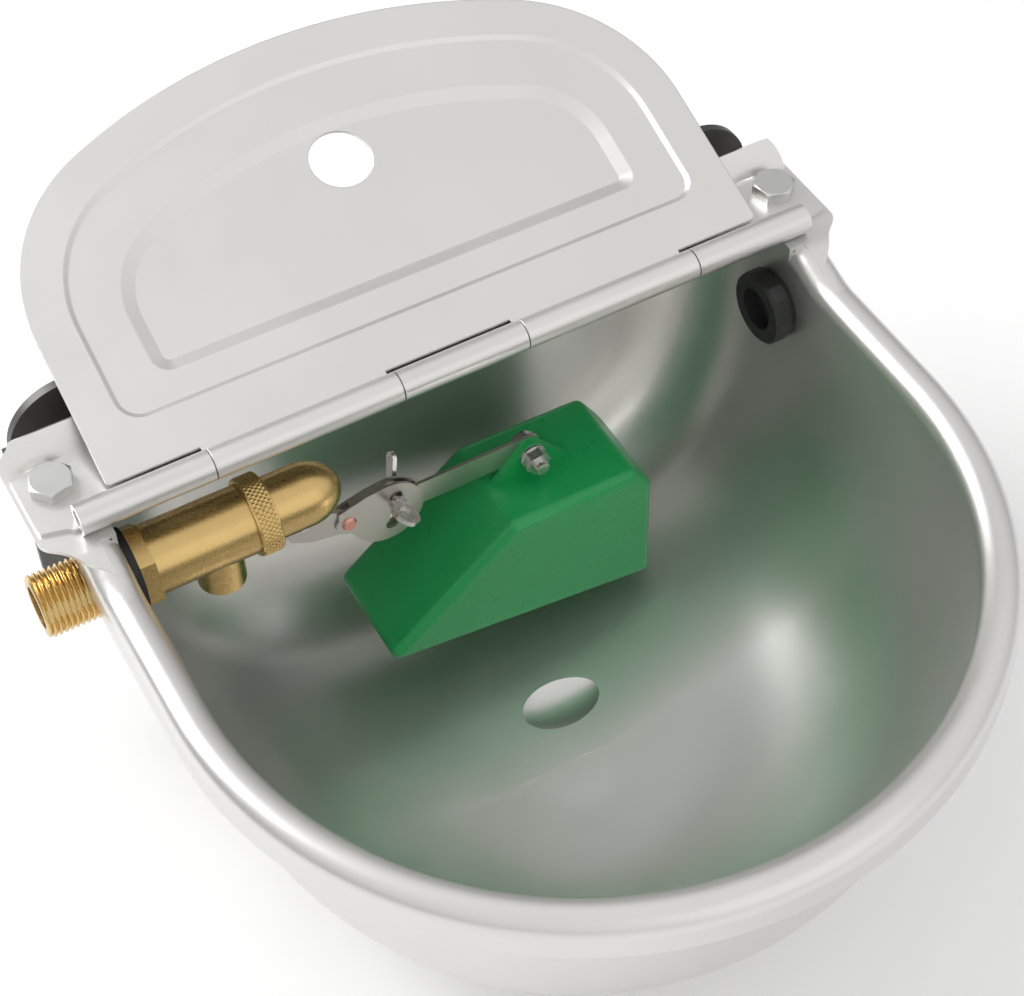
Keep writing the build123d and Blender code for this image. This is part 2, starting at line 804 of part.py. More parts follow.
def hexagon_bolt(across_flats, head_height, shank_radius, length):
    """A bolt whose head sits on the XY plane, with its corners turned off at the top."""
    with BuildPart() as bolt:
        with BuildSketch():
            hexagon(across_flats)
        extrude(amount=head_height)
        with BuildSketch(Plane.XY.offset(head_height)):
            Circle(across_flats / 2 * head_turned_off)
        extrude(amount=-head_height, taper=-head_chamfer_angle, mode=Mode.INTERSECT)
        with BuildSketch():
            Circle(shank_radius)
        extrude(amount=-length)
        chamfer(bolt.faces().sort_by(Axis.Z)[0].edges(), thread_chamfer * shank_radius)
    return bolt.part


bolt_seat = bracket_bottom + bracket_sheet + contact
with BuildPart() as bracket_bolts:
    for side_x, turn in zip((-bolt_x, bolt_x), bolt_turns):
        with Locations(Location((side_x, bolt_y, bolt_seat), (0, 0, turn))):
            add(hexagon_bolt(bolt_across_flats, bolt_head_height, bolt_radius, bolt_length))
write(bracket_bolts, "bracket_bolts")

washer_top = lug_top - plate_sheet - contact
with BuildPart() as bracket_washers:
    with BuildSketch(Plane.XY.offset(washer_top)):
        with Locations((bolt_x, bolt_y), (-bolt_x, bolt_y)):
            Circle(washer_radius)
            Circle(bolt_radius + screw_clearance, mode=Mode.SUBTRACT)
    extrude(amount=-washer_sheet)
write(bracket_washers, "bracket_washers")

with BuildPart() as bracket_nuts:
    with BuildSketch(Plane.XY.offset(washer_top - washer_sheet - contact)):
        with Locations((bolt_x, bolt_y), (-bolt_x, bolt_y)):
            hexagon(bolt_across_flats)
            Circle(bolt_radius + running_fit, mode=Mode.SUBTRACT)
    extrude(amount=-nut_height)
write(bracket_nuts, "bracket_nuts")

# ---------------------------------------------------------------- valve body
gasket_outer_x = inner_wall_x + gasket_gap
flange_outer_x = gasket_outer_x + gasket_sheet
flange_inner_x = flange_outer_x + flange_sheet
washer_inner_x = -bowl_half_width - contact
washer_outer_x = washer_inner_x - lock_washer_sheet
lock_nut_inner_x = washer_outer_x - contact
lock_nut_outer_x = lock_nut_inner_x - lock_nut_sheet
free_thread_end_x = lock_nut_outer_x - seat_gap


def ring(start_x, end_x, outer, inner=0.0, mode=Mode.ADD):
    """A round or a ring along the valve's axis."""
    with BuildSketch(across_valve(start_x)) as section:
        Circle(outer)
        if inner > 0:
            Circle(inner, mode=Mode.SUBTRACT)
    return extrude(section.sketch, amount=end_x - start_x, mode=mode)


def nut_ring(start_x, end_x, across_flats, inner, turn=0.0):
    """A hexagonal ring along the valve's axis."""
    with BuildSketch(across_valve(start_x)) as section:
        hexagon(across_flats, turn)
        Circle(inner, mode=Mode.SUBTRACT)
    return extrude(section.sketch, amount=end_x - start_x)


with BuildPart() as valve_body:
    ring(inlet_end_x, free_thread_end_x, inlet_radius)
    chamfer(valve_body.faces().sort_by(Axis.X)[0].edges(), inlet_chamfer)
    ring(free_thread_end_x, lock_nut_inner_x, engaged_radius)
    ring(lock_nut_inner_x, flange_outer_x, inlet_radius)
    with BuildSketch(across_valve(flange_outer_x)):
        hexagon(flange_across_flats, flange_turn)
    extrude(amount=flange_sheet)
    ring(flange_inner_x, body_front_x, body_radius)
    # outlet
    with BuildSketch(Plane.XY.offset(valve_z)):
        with Locations((outlet_x, valve_y)):
            Circle(outlet_radius)
    extrude(amount=-outlet_drop)
    chamfer(valve_body.faces().sort_by(Axis.Z)[0].edges(), outlet_chamfer)
    # bores
    ring(inlet_end_x, seat_start_x, inlet_bore, mode=Mode.SUBTRACT)
    ring(seat_start_x, chamber_start_x, seat_radius, mode=Mode.SUBTRACT)
    ring(chamber_start_x, body_front_x, chamber_radius, mode=Mode.SUBTRACT)
    with BuildSketch(Plane.XY.offset(valve_z)):
        with Locations((outlet_x, valve_y)):
            Circle(outlet_bore)
    extrude(amount=-outlet_drop, mode=Mode.SUBTRACT)
    # milled flat along the inlet thread
    flat_plane = Plane(
        origin=(inlet_end_x, valve_y, valve_z),
        x_dir=(1, 0, 0),
        z_dir=(0, -cos(radians(inlet_flat_angle)), sin(radians(inlet_flat_angle))),
    )
    with BuildSketch(flat_plane.offset(inlet_flat)):
        flat_length = free_thread_end_x - inlet_end_x
        with Locations((flat_length / 2, 0)):
            Rectangle(flat_length, 2 * inlet_radius)
    extrude(amount=inlet_radius, mode=Mode.SUBTRACT)
write(valve_body, "valve_body")

with BuildPart() as valve_gasket:
    ring(gasket_outer_x, flange_outer_x - contact, gasket_radius, inlet_radius + running_fit)
write(valve_gasket, "valve_gasket")

with BuildPart() as valve_washer:
    ring(washer_outer_x, washer_inner_x, lock_washer_radius, inlet_radius + running_fit)
write(valve_washer, "valve_washer")

with BuildPart() as valve_lock_nut:
    nut_ring(
        lock_nut_outer_x,
        lock_nut_inner_x,
        lock_nut_across_flats,
        engaged_radius + running_fit,
        lock_nut_turns[0],
    )
write(valve_lock_nut, "valve_lock_nut")

stroke = lever_pin_below * sin(radians(lever_travel))
plunger_front_x = chamber_start_x + stroke + seat_gap + plunger_seal_sheet
seat_rim_x = chamber_start_x
with BuildPart() as valve_seat:
    ring(seat_start_x, seat_rim_x - orifice_rise, seat_radius - contact)
    ring(seat_rim_x - orifice_rise, seat_rim_x, orifice_radius + orifice_lip)
    ring(seat_start_x, seat_rim_x, orifice_radius, mode=Mode.SUBTRACT)
write(valve_seat, "valve_seat")

# ---------------------------------------------------------------- dome and union nut
dome_back_x = body_front_x + dome_seal_sheet
dome_flange_end_x = dome_back_x + dome_flange_sheet
with BuildPart() as dome_seal:
    ring(body_front_x + contact, dome_back_x - contact, body_radius - seal_margin, chamber_radius)
write(dome_seal, "dome_seal")

with BuildPart() as valve_collar:
    with BuildSketch(across_valve(collar_start_x)):
        Circle(collar_radius - knurl_depth)
    extrude(amount=collar_end_x - collar_start_x)
    # knurled band between two plain lips
    with BuildSketch(across_valve(collar_start_x + collar_lip)):
        Circle(collar_radius)
        with PolarLocations(collar_radius, knurl_count):
            Rectangle(knurl_depth * sqrt(2), knurl_depth * sqrt(2), rotation=45, mode=Mode.SUBTRACT)
    extrude(amount=collar_width - 2 * collar_lip)
    ring(collar_start_x, dome_flange_end_x + seat_gap, body_radius + running_fit, mode=Mode.SUBTRACT)
    ring(collar_start_x, collar_end_x, dome_radius + running_fit, mode=Mode.SUBTRACT)
write(valve_collar, "valve_collar")

stem_bore = stem_radius + plunger_fit
with BuildPart() as valve_dome:
    with BuildSketch(valve_section):
        with BuildLine():
            Polyline(
                (dome_nose_x, dome_radius),
                (dome_flange_end_x, dome_radius),
                (dome_flange_end_x, body_radius - seal_margin),
                (dome_back_x, body_radius - seal_margin),
                (dome_back_x, 0),
                (dome_tip_x, 0),
            )
            EllipticalCenterArc(
                (dome_nose_x, 0), dome_tip_x - dome_nose_x, dome_radius, start_angle=0, arc_size=90
            )
        make_face()
    revolve(axis=valve_axis)
    ring(dome_back_x, lever_pin_x + finger_radius + 1, stem_bore, mode=Mode.SUBTRACT)
    # slot under the dome for the lever
    slot_top = valve_z + finger_radius + dome_slot_margin
    with BuildSketch(valve_section.offset(-dome_slot_width / 2)):
        with BuildLine():
            Polyline(
                (dome_slot_start_x, -2 * dome_radius),
                (dome_slot_start_x, slot_top - valve_z),
                (lever_pin_x + 4.5, slot_top - valve_z),
                (dome_tip_x + 2, -lever_pin_below),
                (dome_tip_x + 2, -2 * dome_radius),
                close=True,
            )
        make_face()
    extrude(amount=dome_slot_width, mode=Mode.SUBTRACT)
    with BuildSketch(valve_section.offset(-2 * dome_radius)):
        with Locations((lever_pin_x, -lever_pin_below)):
            Circle(lever_pin_radius + running_fit)
    extrude(amount=4 * dome_radius, mode=Mode.SUBTRACT)
write(valve_dome, "valve_dome")

pin_half_length = sqrt(dome_radius**2 - lever_pin_below**2) - lever_pin_inset
with BuildPart() as lever_pin:
    with BuildSketch(valve_section.offset(-pin_half_length)):
        with Locations((lever_pin_x, -lever_pin_below)):
            Circle(lever_pin_radius)
    extrude(amount=2 * pin_half_length)
write(lever_pin, "lever_pin")

# ---------------------------------------------------------------- plunger
stem_end_x = lever_pin_x - finger_radius - lever_touch
with BuildPart() as valve_plunger:
    ring(plunger_front_x - plunger_seal_sheet / 2, plunger_guide_end_x, chamber_radius - plunger_fit)
    # four flats let the water past the guide
    with BuildSketch(across_valve(plunger_front_x - plunger_seal_sheet / 2)):
        Rectangle(2 * (chamber_radius - guide_flat), 2 * (chamber_radius - guide_flat))
    extrude(amount=plunger_guide_end_x - plunger_front_x + plunger_seal_sheet / 2, mode=Mode.INTERSECT)
    ring(plunger_front_x - plunger_seal_sheet / 2, plunger_front_x, plunger_seal_radius + contact,
         mode=Mode.SUBTRACT)
    ring(plunger_guide_end_x, stem_end_x, stem_radius)
write(valve_plunger, "valve_plunger")

with BuildPart() as plunger_seal:
    ring(plunger_front_x - plunger_seal_sheet, plunger_front_x - contact, plunger_seal_radius)
write(plunger_seal, "plunger_seal")

# ---------------------------------------------------------------- lever
rivet_z = -rivet_below
clamp_x = rivet_x + slot_radius * cos(radians(clamp_angle))
clamp_z = rivet_z + slot_radius * sin(radians(clamp_angle))
with BuildPart() as valve_lever:
    with BuildSketch(valve_section.offset(-lever_sheet / 2)):
        # finger that pushes the stem
        with Locations((lever_pin_x, 0)):
            Circle(finger_radius)
        with BuildLine():
            Polyline(
                (lever_pin_x - finger_radius, 0),
                (lever_pin_x - finger_radius, -stem_radius - 1),
                (lever_pin_x - 2.8, rivet_z / 2),
                (lever_pin_x - 4.0, rivet_z * 0.78),
                (lever_pin_x - 2.6, rivet_z * 0.93),
                (lever_pin_x + 4.0, rivet_z + 0.3 - rivet_wall / 2),
                (rivet_x, rivet_z - rivet_wall),
                (clamp_x, clamp_z - lever_tail_radius),
                (clamp_x, clamp_z + lever_tail_radius),
                (rivet_x, rivet_z + rivet_wall),
                (lever_pin_x + 4.2, rivet_z * 0.5),
                (lever_pin_x + finger_radius, 0),
                close=True,
            )
        make_face()
        with Locations((clamp_x, clamp_z)):
            Circle(lever_tail_radius)
        with Locations((lever_pin_x, -lever_pin_below)):
            Circle(lever_pin_radius + running_fit, mode=Mode.SUBTRACT)
        with Locations((rivet_x, rivet_z)):
            Circle(rivet_radius + contact, mode=Mode.SUBTRACT)
        with Locations((clamp_x, clamp_z)):
            Circle(eye_screw_radius + contact, mode=Mode.SUBTRACT)
    extrude(amount=lever_sheet)
write(valve_lever, "valve_lever")

# ---------------------------------------------------------------- fork and strip
fork_inner = lever_sheet / 2 + fork_gap
fork_outer = fork_inner + fork_sheet
float_z = -float_screw_below


lobe_x = rivet_x + lobe_place[0]
lobe_z = rivet_z + lobe_place[1]
shoulder = [(rivet_x + x, rivet_z + z) for x, z in fork_shoulder]


def cheek_outline():
    """One cheek of the fork, in the valve's section plane."""
    with BuildSketch() as cheek:
        with Locations((rivet_x, rivet_z)):
            Circle(fork_boss_radius)
        with Locations((lobe_x, lobe_z)):
            Circle(lobe_radius)
        with BuildLine():
            Polyline(
                *shoulder,
                (lobe_x, lobe_z + lobe_radius),
                (lobe_x, lobe_z),
                (lobe_x - 0.8 * lobe_radius, lobe_z - 0.6 * lobe_radius),
                (rivet_x, rivet_z - fork_boss_radius),
                close=True,
            )
        make_face()
        with Locations((rivet_x, rivet_z)):
            Circle(rivet_radius + running_fit, mode=Mode.SUBTRACT)
        with BuildLine(mode=Mode.PRIVATE) as slot_line:
            CenterArc((rivet_x, rivet_z), slot_radius, slot_low_angle, slot_high_angle - slot_low_angle)
        SlotArc(slot_line.edges()[0], 2 * slot_half_width, mode=Mode.SUBTRACT)
    return cheek.sketch


with BuildPart() as float_arm:
    for near in (fork_inner, -fork_outer):
        with BuildSketch(valve_section.offset(near)):
            add(cheek_outline())
        extrude(amount=fork_sheet)
    # web that joins the cheeks over the lever
    with BuildSketch(valve_section.offset(-fork_inner)):
        with BuildLine():
            Polyline(
                shoulder[2],
                shoulder[3],
                (lobe_x, lobe_z + lobe_radius),
                (lobe_x, lobe_z + lobe_radius - fork_sheet),
                (shoulder[3][0], shoulder[3][1] - fork_sheet),
                (shoulder[2][0], shoulder[2][1] - fork_sheet),
                close=True,
            )
        make_face()
    extrude(amount=2 * fork_inner)
    # strip to the float, welded inside the front cheek
    strip_start_x = clamp_x + lever_tail_radius + strip_clearance
    strip_middle = (float_screw_x + strip_start_x) / 2
    with BuildSketch(valve_section.offset(fork_inner - strip_sheet)):
        with Locations((strip_middle, float_z + strip_lift)):
            Rectangle(float_screw_x - strip_start_x, strip_height)
        with Locations((float_screw_x, float_z + strip_lift)):
            Circle(strip_height / 2)
        with Locations((float_screw_x, float_z)):
            Circle(m5_radius + running_fit, mode=Mode.SUBTRACT)
    extrude(amount=strip_sheet)
write(float_arm, "float_arm")

with BuildPart() as arm_rivet:
    rivet_reach = fork_outer + contact
    with BuildSketch(valve_section.offset(-rivet_reach)):
        with Locations((rivet_x, rivet_z)):
            Circle(rivet_radius)
    extrude(amount=2 * rivet_reach)
    for side in (1, -1):
        with BuildSketch(valve_section.offset(side * rivet_reach)):
            with Locations((rivet_x, rivet_z)):
                Circle(rivet_head_radius)
        extrude(amount=side * rivet_head, taper=rivet_head_taper)
write(arm_rivet, "arm_rivet")

# ---------------------------------------------------------------- eye screw and wing nut
nut_start = fork_outer + 2 * contact
with BuildPart() as eye_screw:
    with BuildSketch(valve_section.offset(-nut_start - wing_boss - screw_end)):
        with Locations((clamp_x, clamp_z)):
            Circle(eye_screw_radius)
    extrude(amount=nut_start + wing_boss + screw_end + fork_outer + contact)
    with BuildSketch(valve_section.offset(fork_outer + contact)):
        with Locations((clamp_x, clamp_z)):
            Circle(eye_screw_radius + eye_screw_flange)
    extrude(amount=eye_screw_collar)
    # flat ring head, in the plane of the screw's axis
    eye_plane = Plane(
        origin=(
            clamp_x,
            valve_y - fork_outer - eye_screw_collar - eye_radius + eye_sheet / 2,
            valve_z + clamp_z,
        ),
        x_dir=(0, -1, 0),
        z_dir=(sin(radians(eye_turn)), 0, cos(radians(eye_turn))),
    )
    with BuildSketch(eye_plane.offset(-eye_sheet / 2)):
        Circle(eye_radius)
        Circle(eye_hole_radius, mode=Mode.SUBTRACT)
    extrude(amount=eye_sheet)
write(eye_screw, "eye_screw")

with BuildPart() as wing_nut:
    with BuildSketch(valve_section.offset(-nut_start)):
        with Locations((clamp_x, clamp_z)):
            Circle(wing_boss_radius)
    extrude(amount=-wing_boss, taper=wing_boss_taper)
    for turn in (wing_turn, wing_turn + 180):
        wing_plane = Plane(
            origin=(clamp_x, valve_y + nut_start, valve_z + clamp_z),
            x_dir=(cos(radians(turn)), 0, sin(radians(turn))),
            z_dir=(-sin(radians(turn)), 0, cos(radians(turn))),
        )
        with BuildSketch(wing_plane.offset(-wing_sheet / 2)):
            with BuildLine():
                wing = Polyline((1.0, 0.3), (3.0, 0.3), (wing_span, 3.2))
                tip = ThreePointArc(wing @ 1, (wing_span + 1.2, 5.6), (wing_span - 2.4, 7.2))
                Polyline(tip @ 1, (3.0, wing_boss), (1.0, wing_boss), (1.0, 0.3))
            make_face()
        extrude(amount=wing_sheet)
    with BuildSketch(valve_section.offset(-nut_start)):
        with Locations((clamp_x, clamp_z)):
            Circle(eye_screw_radius + running_fit)
    extrude(amount=-wing_boss - 1, mode=Mode.SUBTRACT)
write(wing_nut, "wing_nut")

# ---------------------------------------------------------------- float
lug_back = fork_inner + contact
float_points = [(float_screw_x + x, z) for x, z in float_corners]
float_top = float_corners[4][1]


def float_block(inset):
    """The float's moulded block, or the hollow inside it."""
    with BuildPart() as block:
        with BuildSketch(valve_section.offset(-float_back + inset)) as side_view:
            with BuildLine():
                Polyline(*float_points, close=True)
            make_face()
            if inset > 0:
                offset(amount=-inset, mode=Mode.REPLACE)
        extrude(amount=float_front + float_back - 2 * inset)
        # the upright corner at the back of the deep end is rounder
        fillet(block.edges().group_by(Axis.Y)[-1].sort_by(Axis.X)[-1], float_corner_radius - inset)
        rounded = block.faces().filter_by(GeomType.CYLINDER)[0]
        fillet(block.edges() - rounded.edges().filter_by(GeomType.LINE), float_fillet - inset)
    return block.part


with BuildPart() as float_node:
    add(float_block(0))
    with BuildSketch(valve_section.offset(lug_back)):
        with BuildLine():
            left_foot = (float_screw_x + lug_base[0], float_top)
            right_foot = (float_screw_x + lug_base[1], float_top)
            slant = lug_radius * sqrt(3) / 2
            Polyline(
                (left_foot[0], left_foot[1] - lug_foot),
                left_foot,
                (float_screw_x - slant, float_z + lug_radius / 2),
                (float_screw_x + slant, float_z + lug_radius / 2),
                right_foot,
                (right_foot[0], right_foot[1] - lug_foot),
                close=True,
            )
        make_face()
        with Locations((float_screw_x, float_z)):
            Circle(lug_radius)
    extrude(amount=lug_sheet)
    add(float_block(float_sheet), mode=Mode.SUBTRACT)
    with BuildSketch(valve_section.offset(lug_back)):
        with Locations((float_screw_x, float_z)):
            Circle(m5_radius + running_fit)
    extrude(amount=lug_sheet, mode=Mode.SUBTRACT)
write(float_node, "float")

strip_back = fork_inner - strip_sheet - contact
lug_front = lug_back + lug_sheet
with BuildPart() as float_screw:
    with BuildSketch(valve_section.offset(strip_back)):
        with Locations((float_screw_x, float_z)):
            hexagon(m5_across_flats, m5_turns[0])
    extrude(amount=-m5_head_height)
    with BuildSketch(valve_section.offset(strip_back)):
        with Locations((float_screw_x, float_z)):
            Circle(m5_radius)
    extrude(amount=lug_front - strip_back + m5_washer_sheet + m5_nut_height + m5_tail)
write(float_screw, "float_screw")

with BuildPart() as float_washer:
    with BuildSketch(valve_section.offset(lug_front + contact)):
        with Locations((float_screw_x, float_z)):
            Circle(m5_washer_radius)
            Circle(m5_radius + running_fit, mode=Mode.SUBTRACT)
    extrude(amount=m5_washer_sheet)
write(float_washer, "float_washer")

with BuildPart() as float_nut:
    with BuildSketch(valve_section.offset(lug_front + m5_washer_sheet + 2 * contact)):
        with Locations((float_screw_x, float_z)):
            hexagon(m5_across_flats, m5_turns[1])
            Circle(m5_radius + running_fit, mode=Mode.SUBTRACT)
    extrude(amount=m5_nut_height)
write(float_nut, "float_nut")

# ---------------------------------------------------------------- side plug
plug_head_end_x = -inner_wall_x - plug_gasket_sheet
plug_face_x = plug_head_end_x - plug_head_sheet
plug_nut_x = bowl_half_width + contact


def plug_ring(start_x, end_x, outer, inner=0.0, mode=Mode.ADD):
    """A round or a ring along the plug's axis."""
    with BuildSketch(across_valve(start_x, plug_z)) as section:
        Circle(outer)
        if inner > 0:
            Circle(inner, mode=Mode.SUBTRACT)
    return extrude(section.sketch, amount=end_x - start_x, mode=mode)


with BuildPart() as side_plug:
    plug_ring(plug_face_x, plug_head_end_x, plug_radius)
    chamfer(side_plug.faces().sort_by(Axis.X)[0].edges(), plug_chamfer)
    with BuildSketch(across_valve(plug_face_x, plug_z)):
        hexagon(plug_flats)
    extrude(amount=plug_head_sheet, mode=Mode.INTERSECT)
    plug_ring(plug_head_end_x, plug_nut_x + plug_nut_sheet + plug_tail, inlet_radius)
    plug_ring(plug_face_x, plug_face_x + plug_recess_depth, plug_recess_radius, mode=Mode.SUBTRACT)
write(side_plug, "side_plug")

with BuildPart() as plug_gasket:
    plug_ring(
        plug_head_end_x + contact,
        -inner_wall_x - plug_gasket_gap,
        plug_gasket_radius,
        inlet_radius + running_fit,
    )
write(plug_gasket, "plug_gasket")

with BuildPart() as plug_nut:
    with BuildSketch(across_valve(plug_nut_x, plug_z)):
        hexagon(lock_nut_across_flats, lock_nut_turns[1])
        Circle(inlet_radius + running_fit, mode=Mode.SUBTRACT)
    extrude(amount=plug_nut_sheet)
write(plug_nut, "plug_nut")
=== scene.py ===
import json
import math

import bmesh
import bpy
from mathutils import Matrix, Vector


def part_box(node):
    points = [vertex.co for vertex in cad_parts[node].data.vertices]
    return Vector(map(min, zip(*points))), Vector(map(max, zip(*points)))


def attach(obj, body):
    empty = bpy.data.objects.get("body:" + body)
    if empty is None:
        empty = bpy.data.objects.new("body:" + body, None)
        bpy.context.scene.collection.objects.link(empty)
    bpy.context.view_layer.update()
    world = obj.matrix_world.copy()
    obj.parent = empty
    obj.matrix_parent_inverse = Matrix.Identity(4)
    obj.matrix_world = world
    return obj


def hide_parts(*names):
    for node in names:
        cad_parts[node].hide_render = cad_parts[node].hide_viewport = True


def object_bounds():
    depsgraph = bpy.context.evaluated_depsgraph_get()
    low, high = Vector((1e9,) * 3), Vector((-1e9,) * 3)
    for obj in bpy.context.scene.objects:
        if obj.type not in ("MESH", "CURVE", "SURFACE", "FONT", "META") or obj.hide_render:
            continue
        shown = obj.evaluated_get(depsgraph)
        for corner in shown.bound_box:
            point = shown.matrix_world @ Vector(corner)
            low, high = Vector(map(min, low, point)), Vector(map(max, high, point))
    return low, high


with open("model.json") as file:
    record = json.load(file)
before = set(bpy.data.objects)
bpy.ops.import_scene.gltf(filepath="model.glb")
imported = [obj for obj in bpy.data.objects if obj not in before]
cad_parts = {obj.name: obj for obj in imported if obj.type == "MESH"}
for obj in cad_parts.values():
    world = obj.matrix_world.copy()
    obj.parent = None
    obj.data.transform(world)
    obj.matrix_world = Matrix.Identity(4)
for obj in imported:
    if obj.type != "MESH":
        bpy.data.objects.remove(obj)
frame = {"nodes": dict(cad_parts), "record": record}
nodes = frame["nodes"]
cad_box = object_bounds()

MM = 0.001
FULL_TURN = 2 * math.pi


def added(name, data):
    """A new object in the scene that holds the data."""
    thing = bpy.data.objects.new(name, data)
    bpy.context.scene.collection.objects.link(thing)
    return thing


# ------------------------------------------------------------------ camera
CAMERA_PLACE = Vector((-213.92, -470.43, 559.90)) * MM
CAMERA_RIGHT = Vector((0.87072, -0.49163, -0.01181))
CAMERA_UP = Vector((0.38513, 0.66676, 0.63805))
CAMERA_BACK = Vector((-0.30581, -0.56012, 0.76990))
IMAGE_WIDTH = 1024             # pixels
FOCAL_PIXELS = 2189.2
SENSOR_WIDTH = 36.0            # mm, as Blender counts it


def add_camera():
    data = bpy.data.cameras.new("photo_camera")
    data.sensor_fit = "HORIZONTAL"
    data.sensor_width = SENSOR_WIDTH
    data.lens = FOCAL_PIXELS / IMAGE_WIDTH * SENSOR_WIDTH
    camera = added("photo_camera", data)
    turn = Matrix((CAMERA_RIGHT, CAMERA_UP, CAMERA_BACK)).transposed()
    camera.matrix_world = Matrix.Translation(CAMERA_PLACE) @ turn.to_4x4()
    bpy.context.scene.camera = camera


# ------------------------------------------------------------------ materials
BEVEL_SAMPLES = 6
NOISE_SPAN = (0.3, 0.7)        # where nearly all of a noise's values lie
CLOUD_SHARE = 0.7              # of the cloudy noise in satin steel's roughness
FINE_SHARE = 0.3               # of the fine noise
LINES_ALONG_X = (0.02, 1, 1)   # stretches a noise into lines


def add_span(tree, inside, outside):
    """A node that maps one range of values to another."""
    span = tree.nodes.new("ShaderNodeMapRange")
    for end, low, high in (("Min", inside[0], outside[0]), ("Max", inside[1], outside[1])):
        span.inputs["From " + end].default_value = low
        span.inputs["To " + end].default_value = high
    return span


class Shader:
    """A material's node tree, with short calls for the nodes that the finishes use."""

    def __init__(self, name):
        self.material = bpy.data.materials.new(name)
        self.material.use_nodes = True
        self.tree = self.material.node_tree
        self.surface = self.tree.nodes["Principled BSDF"]
        self.place = self.tree.nodes.new("ShaderNodeTexCoord").outputs["Object"]

    def set(self, **values):
        for name, value in values.items():
            self.surface.inputs[name].default_value = value

    def link(self, source, socket):
        self.tree.links.new(source, socket)

    def feed(self, source, name):
        """Links a value to an input of the surface."""
        self.link(source, self.surface.inputs[name])

    def stretched(self, scale):
        mapping = self.tree.nodes.new("ShaderNodeMapping")
        mapping.inputs["Scale"].default_value = scale
        self.link(self.place, mapping.inputs["Vector"])
        return mapping.outputs["Vector"]

    def noise(self, scale, detail, roughness, vector=None):
        noise = self.tree.nodes.new("ShaderNodeTexNoise")
        noise.inputs["Scale"].default_value = scale
        noise.inputs["Detail"].default_value = detail
        noise.inputs["Roughness"].default_value = roughness
        self.link(vector or self.place, noise.inputs["Vector"])
        return noise.outputs["Fac"]

    def span(self, value, outside):
        """A noise's usual values mapped to the range outside."""
        span = add_span(self.tree, NOISE_SPAN, outside)
        self.link(value, span.inputs["Value"])
        return span.outputs["Result"]

    def mix(self, factor, first, second):
        mix = self.tree.nodes.new("ShaderNodeMix")
        mix.data_type = "RGBA"
        self.link(factor, mix.inputs["Factor"])
        for name, colour in (("A", first), ("B", second)):
            mix.inputs[name].default_value = (*colour, 1.0)
        return mix.outputs["Result"]

    def math(self, operation, first, second):
        node = self.tree.nodes.new("ShaderNodeMath")
        node.operation = operation
        for socket, value in zip(node.inputs, (first, second)):
            if isinstance(value, (int, float)):
                socket.default_value = value
            else:
                self.link(value, socket)
        return node.outputs["Value"]

    def bump(self, height, strength, distance, soften=0.0):
        """Relief from a height. Soften rounds the edges in the shading, by that radius in metres."""
        bump = self.tree.nodes.new("ShaderNodeBump")
        if soften > 0:
            bevel = self.tree.nodes.new("ShaderNodeBevel")
            bevel.samples = BEVEL_SAMPLES
            bevel.inputs["Radius"].default_value = soften
            self.link(bevel.outputs["Normal"], bump.inputs["Normal"])
        bump.inputs["Strength"].default_value = strength
        bump.inputs["Distance"].default_value = distance
        self.link(height, bump.inputs["Height"])
        self.feed(bump.outputs["Normal"], "Normal")


def satin_steel(name, dark, pale, rough, grain=0.12, soften=0.0, metallic=1.0):
    """Brushed or blasted metal: a cloudy tone with a fine grain over it."""
    shader = Shader(name)
    shader.set(Metallic=metallic)
    cloud = shader.noise(scale=18, detail=4, roughness=0.55)
    fine = shader.noise(scale=900, detail=2, roughness=0.6)
    shader.feed(shader.mix(cloud, dark, pale), "Base Color")
    mixed = shader.math(
        "ADD",
        shader.math("MULTIPLY", cloud, CLOUD_SHARE),
        shader.math("MULTIPLY", fine, FINE_SHARE),
    )
    shader.feed(shader.span(mixed, rough), "Roughness")
    shader.bump(fine, strength=grain, distance=0.00005, soften=soften)
    return shader.material


def drawn_steel(name, dark, pale, rough):
    """Bright steel with fine lines along X, as on tube and rod."""
    shader = Shader(name)
    shader.set(Metallic=1.0)
    along = shader.stretched(LINES_ALONG_X)
    lines = shader.noise(scale=400, detail=3, roughness=0.6, vector=along)
    shader.feed(shader.mix(lines, dark, pale), "Base Color")
    shader.feed(shader.span(lines, rough), "Roughness")
    shader.bump(lines, strength=0.08, distance=0.00004)
    return shader.material


def machined_brass(name, dark, pale, rough):
    shader = Shader(name)
    shader.set(Metallic=1.0)
    cloud = shader.noise(scale=45, detail=4, roughness=0.6)
    fine = shader.noise(scale=1100, detail=2, roughness=0.6)
    shader.feed(shader.mix(cloud, dark, pale), "Base Color")
    shader.feed(shader.span(fine, rough), "Roughness")
    shader.bump(fine, strength=0.08, distance=0.00003)
    return shader.material


def moulded(name, dark, pale, rough, grain=0.15):
    """Rubber or plastic with the mould's grain."""
    shader = Shader(name)
    cloud = shader.noise(scale=30, detail=3, roughness=0.5)
    fine = shader.noise(scale=300, detail=3, roughness=0.6)
    shader.feed(shader.mix(cloud, dark, pale), "Base Color")
    shader.feed(shader.span(fine, rough), "Roughness")
    shader.bump(fine, strength=grain, distance=0.00008)
    return shader.material


